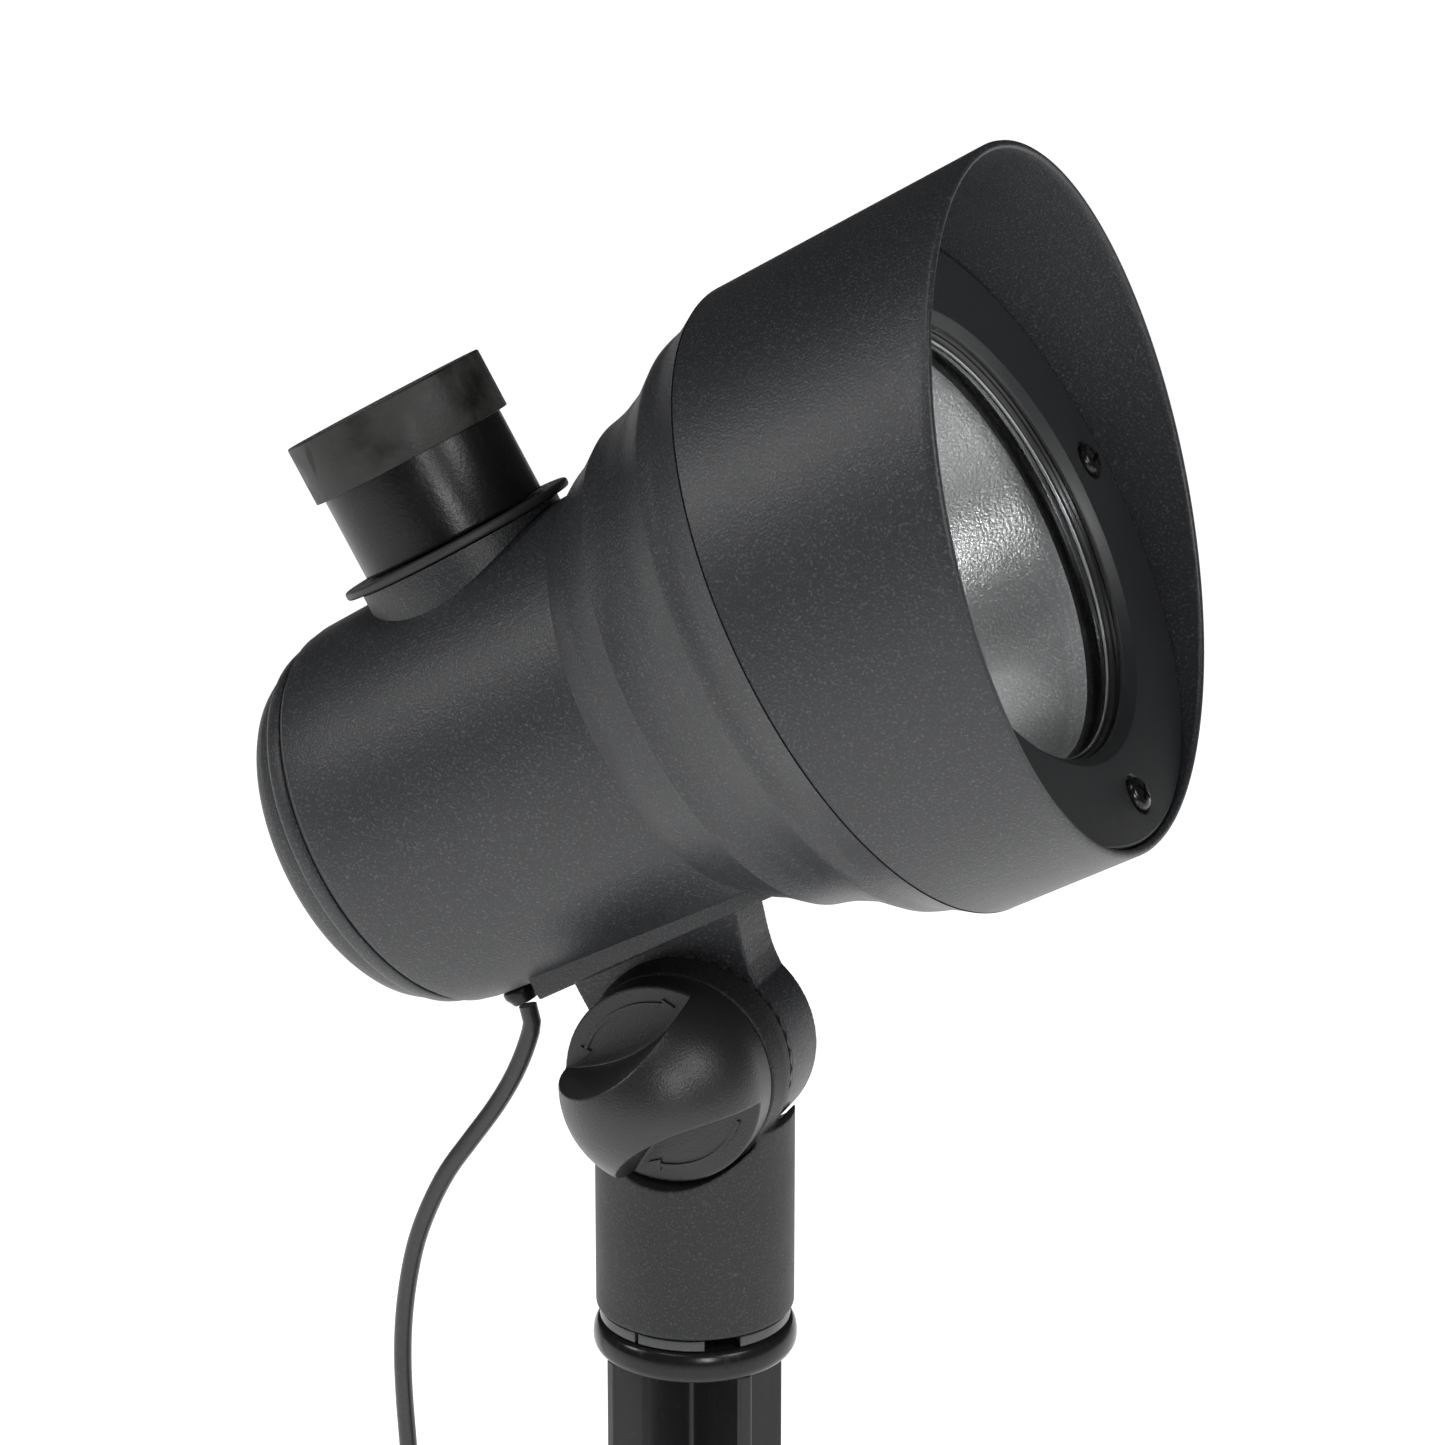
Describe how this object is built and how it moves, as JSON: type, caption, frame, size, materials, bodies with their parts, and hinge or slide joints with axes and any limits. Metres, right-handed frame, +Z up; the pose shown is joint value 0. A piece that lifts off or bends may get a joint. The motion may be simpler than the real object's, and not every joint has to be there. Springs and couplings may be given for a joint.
{
  "type": "garden spotlight on ground stake",
  "caption": "Hooded round spotlight with a sensor turret, a toothed tilt knuckle with clamp knob, a swivelling tube and a ground stake; a thin low-voltage lead hangs below.",
  "frame": {"origin": "on the stake's axis at the underside of the collar, which is ground level in use", "axes": "+Z up the stake, +X the way the lamp shines, -Y towards the clamp knob"},
  "size_m": [0.1498, 0.1054, 0.3902],
  "materials": {
    "powder_coat": "fine-textured charcoal powder coat",
    "rubber": "matt",
    "clear_glass": "polished",
    "mirror_finish": "bright, finely hammered",
    "aluminium": "machined",
    "white_board": "printed board",
    "phosphor": "smooth",
    "zinc_steel": "zinc plated",
    "green_board": "printed board",
    "black_steel": "blackened",
    "gloss_plastic": "moulded, glossy",
    "textured_plastic": "spark-eroded texture",
    "grey_plastic": "moulded",
    "satin_plastic": "moulded, satin",
    "brass": "turned",
    "cord_sheath": "smooth satin sheath"
  },
  "bodies": {
    "stake": {"stake": "gloss_plastic", "split_bush": "grey_plastic"},
    "post": {"post_tube": "textured_plastic", "cord_coil": "cord_sheath", "cord_tie": "gloss_plastic", "connector_body": "satin_plastic", "connector_nut": "satin_plastic"},
    "head": {"lamp_housing": "powder_coat", "rear_cap": "powder_coat", "rear_cap_seal": "rubber", "glare_hood": "powder_coat", "bezel_ring": "powder_coat", "bezel_screw_1": "black_steel", "bezel_screw_2": "black_steel", "bezel_screw_3": "black_steel", "bezel_screw_4": "black_steel", "lens_gasket": "rubber", "lens_glass": "clear_glass", "reflector": "mirror_finish", "heat_sink": "aluminium", "led_board": "white_board", "led_emitter": "phosphor", "led_board_screw_1": "zinc_steel", "led_board_screw_2": "zinc_steel", "driver_board": "green_board", "driver_choke": "black_steel", "driver_capacitor": "aluminium", "cord_gland": "gloss_plastic", "arm_screw_1": "zinc_steel", "arm_screw_2": "zinc_steel", "bracket_arm": "powder_coat", "clamp_bolt": "zinc_steel", "sensor_flange": "rubber", "sensor_housing": "satin_plastic", "sensor_nut": "satin_plastic", "sensor_board": "green_board", "photocell": "clear_glass", "supply_cord": "cord_sheath"},
    "cap": {"sensor_cap": "rubber"},
    "clamp_plate": {"clamp_washer": "zinc_steel"},
    "knob": {"clamp_knob": "satin_plastic", "knob_insert": "brass"}
  },
  "joints": [
    {"name": "post_swivel", "type": "hinge", "parent": "stake", "child": "post", "pos_m": [0, 0, 0.02], "axis": [0, 0, 1], "range_deg": [-90, 90]},
    {"name": "head_tilt", "type": "hinge", "parent": "post", "child": "head", "pos_m": [0, 0, 0.0503], "axis": [0, 1, 0], "range_deg": [-35, 60], "deforming": ["supply_cord"]},
    {"name": "washer_slide", "type": "slide", "parent": "post", "child": "clamp_plate", "axis": [0, -1, 0], "range_m": [0, 0.0015]},
    {"name": "knob_turn", "type": "hinge", "parent": "clamp_plate", "child": "knob", "pos_m": [0, -0.02, 0.0503], "axis": [0, -1, 0], "range_deg": [0, 540]},
    {"name": "cap_lift", "type": "slide", "parent": "head", "child": "cap", "axis": [-0.5, 0, 0.866], "range_m": [0, 0.012]}
  ],
  "couplings": [
    {"joint": "washer_slide", "follows": "knob_turn", "m_per_rad": 0.00015915}
  ]
}
